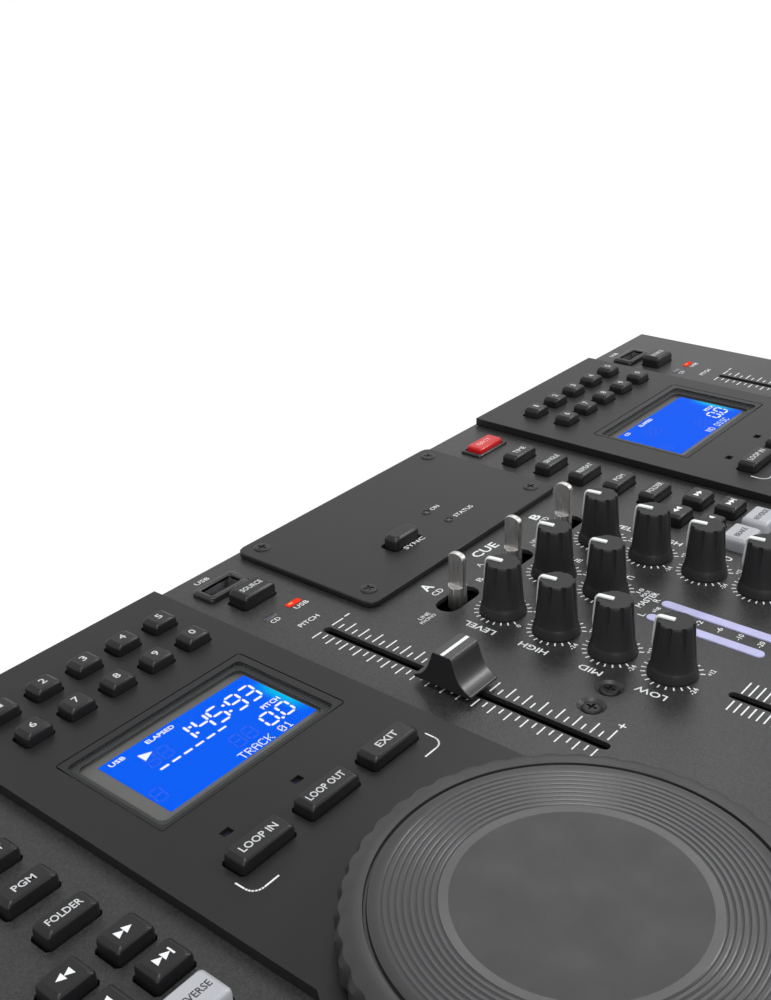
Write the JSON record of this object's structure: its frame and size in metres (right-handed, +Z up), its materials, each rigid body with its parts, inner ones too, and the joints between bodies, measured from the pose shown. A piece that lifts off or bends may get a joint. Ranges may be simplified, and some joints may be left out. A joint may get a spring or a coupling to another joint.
{
  "type": "dual disc player and mixer console",
  "caption": "Desktop disc player and mixer console with two decks, jog wheels, sliding disc trays, faders, knobs, switch levers and lit screens.",
  "frame": {"origin": "On the table, under the middle of the console's outline.", "axes": "+X to the user's right, +Y to the back edge, +Z up from the table."},
  "size_m": [0.44, 0.265, 0.097],
  "materials": {
    "cover_steel": "fine-grained satin powder coat",
    "panel_plastic": "smooth satin",
    "zinc_steel": "zinc plated",
    "key_plastic": "satin",
    "knob_plastic": "satin",
    "body_plastic": "matte",
    "eject_plastic": "glossy",
    "lever_nickel": "nickel plated",
    "screen_glass": "polished",
    "display": "backlit",
    "rubber": "matte",
    "board": "solder mask"
  },
  "bodies": {
    "console": {"base_pan": "cover_steel", "top_cover": "cover_steel", "front_panel": "panel_plastic", "receiver_plate": "panel_plastic", "main_board": "board", "power_supply": "board", "foot_front_left": "rubber", "foot_front_right": "rubber", "foot_back_left": "rubber", "foot_back_right": "rubber", "deck_panel_left": "panel_plastic", "screen_window_left": "screen_glass", "display_module_left": "display", "drive_frame_left": "zinc_steel", "deck_panel_right": "panel_plastic", "screen_window_right": "screen_glass", "display_module_right": "display", "drive_frame_right": "zinc_steel"},
    "jog_wheel_left": {"jog_wheel_left": "body_plastic"},
    "number_keys_left": {"number_keys_left": "key_plastic"},
    "loop_keys_left": {"loop_keys_left": "key_plastic"},
    "function_keys_left": {"function_keys_left": "key_plastic"},
    "search_keys_left": {"search_keys_left": "key_plastic"},
    "eject_key_left": {"eject_key_left": "eject_plastic"},
    "source_key_left": {"source_key_left": "key_plastic"},
    "cue_key_left": {"cue_key_left": "key_plastic"},
    "play_key_left": {"play_key_left": "key_plastic"},
    "pitch_fader_left": {"pitch_fader_left": "knob_plastic"},
    "disc_tray_left": {"disc_tray_left": "body_plastic"},
    "turntable_left": {"turntable_left": "body_plastic"},
    "jog_wheel_right": {"jog_wheel_right": "body_plastic"},
    "number_keys_right": {"number_keys_right": "key_plastic"},
    "loop_keys_right": {"loop_keys_right": "key_plastic"},
    "function_keys_right": {"function_keys_right": "key_plastic"},
    "search_keys_right": {"search_keys_right": "key_plastic"},
    "eject_key_right": {"eject_key_right": "eject_plastic"},
    "source_key_right": {"source_key_right": "key_plastic"},
    "cue_key_right": {"cue_key_right": "key_plastic"},
    "play_key_right": {"play_key_right": "key_plastic"},
    "pitch_fader_right": {"pitch_fader_right": "knob_plastic"},
    "disc_tray_right": {"disc_tray_right": "body_plastic"},
    "turntable_right": {"turntable_right": "body_plastic"},
    "channel_fader_a": {"channel_fader_a": "knob_plastic"},
    "channel_fader_b": {"channel_fader_b": "knob_plastic"},
    "crossfader": {"crossfader": "knob_plastic"},
    "level_knob_a": {"level_knob_a": "knob_plastic"},
    "high_knob_a": {"high_knob_a": "knob_plastic"},
    "mid_knob_a": {"mid_knob_a": "knob_plastic"},
    "low_knob_a": {"low_knob_a": "knob_plastic"},
    "level_knob_b": {"level_knob_b": "knob_plastic"},
    "high_knob_b": {"high_knob_b": "knob_plastic"},
    "mid_knob_b": {"mid_knob_b": "knob_plastic"},
    "low_knob_b": {"low_knob_b": "knob_plastic"},
    "cue_level_knob": {"cue_level_knob": "knob_plastic"},
    "mic_level_knob": {"mic_level_knob": "knob_plastic"},
    "source_lever_a": {"source_lever_a": "lever_nickel"},
    "cue_lever": {"cue_lever": "lever_nickel"},
    "source_lever_b": {"source_lever_b": "lever_nickel"},
    "receiver_button": {"receiver_button": "key_plastic"},
    "power_switch": {"power_switch": "body_plastic"}
  },
  "joints": [
    {"name": "jog_wheel_left_spin", "type": "hinge", "parent": "console", "child": "jog_wheel_left", "pos_m": [-0.1294, -0.049, 0.0832], "axis": [0, 0, 1], "continuous": true},
    {"name": "number_keys_left_press", "type": "slide", "parent": "console", "child": "number_keys_left", "axis": [0, 0, -1], "range_m": [0, 0.001], "stiffness_N_per_m": 1500, "springref_m": -0.0005},
    {"name": "loop_keys_left_press", "type": "slide", "parent": "console", "child": "loop_keys_left", "axis": [0, 0, -1], "range_m": [0, 0.001], "stiffness_N_per_m": 1500, "springref_m": -0.0005},
    {"name": "function_keys_left_press", "type": "slide", "parent": "console", "child": "function_keys_left", "axis": [0, 0, -1], "range_m": [0, 0.001], "stiffness_N_per_m": 1500, "springref_m": -0.0005},
    {"name": "search_keys_left_press", "type": "slide", "parent": "console", "child": "search_keys_left", "axis": [0, 0, -1], "range_m": [0, 0.001], "stiffness_N_per_m": 1500, "springref_m": -0.0005},
    {"name": "eject_key_left_press", "type": "slide", "parent": "console", "child": "eject_key_left", "axis": [0, 0, -1], "range_m": [0, 0.001], "stiffness_N_per_m": 1500, "springref_m": -0.0005},
    {"name": "source_key_left_press", "type": "slide", "parent": "console", "child": "source_key_left", "axis": [0, 0, -1], "range_m": [0, 0.001], "stiffness_N_per_m": 1500, "springref_m": -0.0005},
    {"name": "cue_key_left_press", "type": "slide", "parent": "console", "child": "cue_key_left", "axis": [0, 0, -1], "range_m": [0, 0.001], "stiffness_N_per_m": 1500, "springref_m": -0.0005},
    {"name": "play_key_left_press", "type": "slide", "parent": "console", "child": "play_key_left", "axis": [0, 0, -1], "range_m": [0, 0.001], "stiffness_N_per_m": 1500, "springref_m": -0.0005},
    {"name": "pitch_fader_left_slide", "type": "slide", "parent": "console", "child": "pitch_fader_left", "axis": [0, 1, 0], "range_m": [-0.045, 0.045]},
    {"name": "disc_tray_left_slide", "type": "slide", "parent": "console", "child": "disc_tray_left", "axis": [0, -1, 0], "range_m": [0, 0.13]},
    {"name": "turntable_left_spin", "type": "hinge", "parent": "console", "child": "turntable_left", "pos_m": [-0.1294, -0.064, 0.0363], "axis": [0, 0, 1], "continuous": true},
    {"name": "jog_wheel_right_spin", "type": "hinge", "parent": "console", "child": "jog_wheel_right", "pos_m": [0.1272, -0.049, 0.0832], "axis": [0, 0, 1], "continuous": true},
    {"name": "number_keys_right_press", "type": "slide", "parent": "console", "child": "number_keys_right", "axis": [0, 0, -1], "range_m": [0, 0.001], "stiffness_N_per_m": 1500, "springref_m": -0.0005},
    {"name": "loop_keys_right_press", "type": "slide", "parent": "console", "child": "loop_keys_right", "axis": [0, 0, -1], "range_m": [0, 0.001], "stiffness_N_per_m": 1500, "springref_m": -0.0005},
    {"name": "function_keys_right_press", "type": "slide", "parent": "console", "child": "function_keys_right", "axis": [0, 0, -1], "range_m": [0, 0.001], "stiffness_N_per_m": 1500, "springref_m": -0.0005},
    {"name": "search_keys_right_press", "type": "slide", "parent": "console", "child": "search_keys_right", "axis": [0, 0, -1], "range_m": [0, 0.001], "stiffness_N_per_m": 1500, "springref_m": -0.0005},
    {"name": "eject_key_right_press", "type": "slide", "parent": "console", "child": "eject_key_right", "axis": [0, 0, -1], "range_m": [0, 0.001], "stiffness_N_per_m": 1500, "springref_m": -0.0005},
    {"name": "source_key_right_press", "type": "slide", "parent": "console", "child": "source_key_right", "axis": [0, 0, -1], "range_m": [0, 0.001], "stiffness_N_per_m": 1500, "springref_m": -0.0005},
    {"name": "cue_key_right_press", "type": "slide", "parent": "console", "child": "cue_key_right", "axis": [0, 0, -1], "range_m": [0, 0.001], "stiffness_N_per_m": 1500, "springref_m": -0.0005},
    {"name": "play_key_right_press", "type": "slide", "parent": "console", "child": "play_key_right", "axis": [0, 0, -1], "range_m": [0, 0.001], "stiffness_N_per_m": 1500, "springref_m": -0.0005},
    {"name": "pitch_fader_right_slide", "type": "slide", "parent": "console", "child": "pitch_fader_right", "axis": [0, 1, 0], "range_m": [-0.045, 0.045]},
    {"name": "disc_tray_right_slide", "type": "slide", "parent": "console", "child": "disc_tray_right", "axis": [0, -1, 0], "range_m": [0, 0.13]},
    {"name": "turntable_right_spin", "type": "hinge", "parent": "console", "child": "turntable_right", "pos_m": [0.1272, -0.064, 0.0363], "axis": [0, 0, 1], "continuous": true},
    {"name": "channel_fader_a_slide", "type": "slide", "parent": "console", "child": "channel_fader_a", "axis": [0, 1, 0], "range_m": [-0.0234, 0.0294]},
    {"name": "channel_fader_b_slide", "type": "slide", "parent": "console", "child": "channel_fader_b", "axis": [0, 1, 0], "range_m": [-0.0234, 0.0294]},
    {"name": "crossfader_slide", "type": "slide", "parent": "console", "child": "crossfader", "axis": [1, 0, 0], "range_m": [-0.0264, 0.0264]},
    {"name": "level_knob_a_turn", "type": "hinge", "parent": "console", "child": "level_knob_a", "pos_m": [-0.028, 0.0403, 0.08], "axis": [0, 0, 1], "range_deg": [-140, 140]},
    {"name": "high_knob_a_turn", "type": "hinge", "parent": "console", "child": "high_knob_a", "pos_m": [-0.028, 0.0214, 0.08], "axis": [0, 0, 1], "range_deg": [-140, 140]},
    {"name": "mid_knob_a_turn", "type": "hinge", "parent": "console", "child": "mid_knob_a", "pos_m": [-0.028, 0.0025, 0.08], "axis": [0, 0, 1], "range_deg": [-140, 140]},
    {"name": "low_knob_a_turn", "type": "hinge", "parent": "console", "child": "low_knob_a", "pos_m": [-0.028, -0.0164, 0.08], "axis": [0, 0, 1], "range_deg": [-140, 140]},
    {"name": "level_knob_b_turn", "type": "hinge", "parent": "console", "child": "level_knob_b", "pos_m": [0.028, 0.0403, 0.08], "axis": [0, 0, 1], "range_deg": [-140, 140]},
    {"name": "high_knob_b_turn", "type": "hinge", "parent": "console", "child": "high_knob_b", "pos_m": [0.028, 0.0214, 0.08], "axis": [0, 0, 1], "range_deg": [-140, 140]},
    {"name": "mid_knob_b_turn", "type": "hinge", "parent": "console", "child": "mid_knob_b", "pos_m": [0.028, 0.0025, 0.08], "axis": [0, 0, 1], "range_deg": [-140, 140]},
    {"name": "low_knob_b_turn", "type": "hinge", "parent": "console", "child": "low_knob_b", "pos_m": [0.028, -0.0164, 0.08], "axis": [0, 0, 1], "range_deg": [-140, 140]},
    {"name": "cue_level_knob_turn", "type": "hinge", "parent": "console", "child": "cue_level_knob", "pos_m": [0, 0.0403, 0.08], "axis": [0, 0, 1], "range_deg": [-140, 140]},
    {"name": "mic_level_knob_turn", "type": "hinge", "parent": "console", "child": "mic_level_knob", "pos_m": [0, 0.0214, 0.08], "axis": [0, 0, 1], "range_deg": [-140, 140]},
    {"name": "source_lever_a_tilt", "type": "hinge", "parent": "console", "child": "source_lever_a", "pos_m": [-0.03, 0.0559, 0.0688], "axis": [0, 1, 0], "range_deg": [-16, 16]},
    {"name": "cue_lever_tilt", "type": "hinge", "parent": "console", "child": "cue_lever", "pos_m": [0, 0.0559, 0.0688], "axis": [0, 1, 0], "range_deg": [-16, 16]},
    {"name": "source_lever_b_tilt", "type": "hinge", "parent": "console", "child": "source_lever_b", "pos_m": [0.03, 0.0559, 0.0688], "axis": [0, 1, 0], "range_deg": [-16, 16]},
    {"name": "receiver_button_press", "type": "slide", "parent": "console", "child": "receiver_button", "axis": [0, 0, -1], "range_m": [0, 0.001], "stiffness_N_per_m": 1500, "springref_m": -0.0005},
    {"name": "power_switch_rock", "type": "hinge", "parent": "console", "child": "power_switch", "pos_m": [0.145, 0.1264, 0.03], "axis": [1, 0, 0], "range_deg": [-12, 0]}
  ]
}
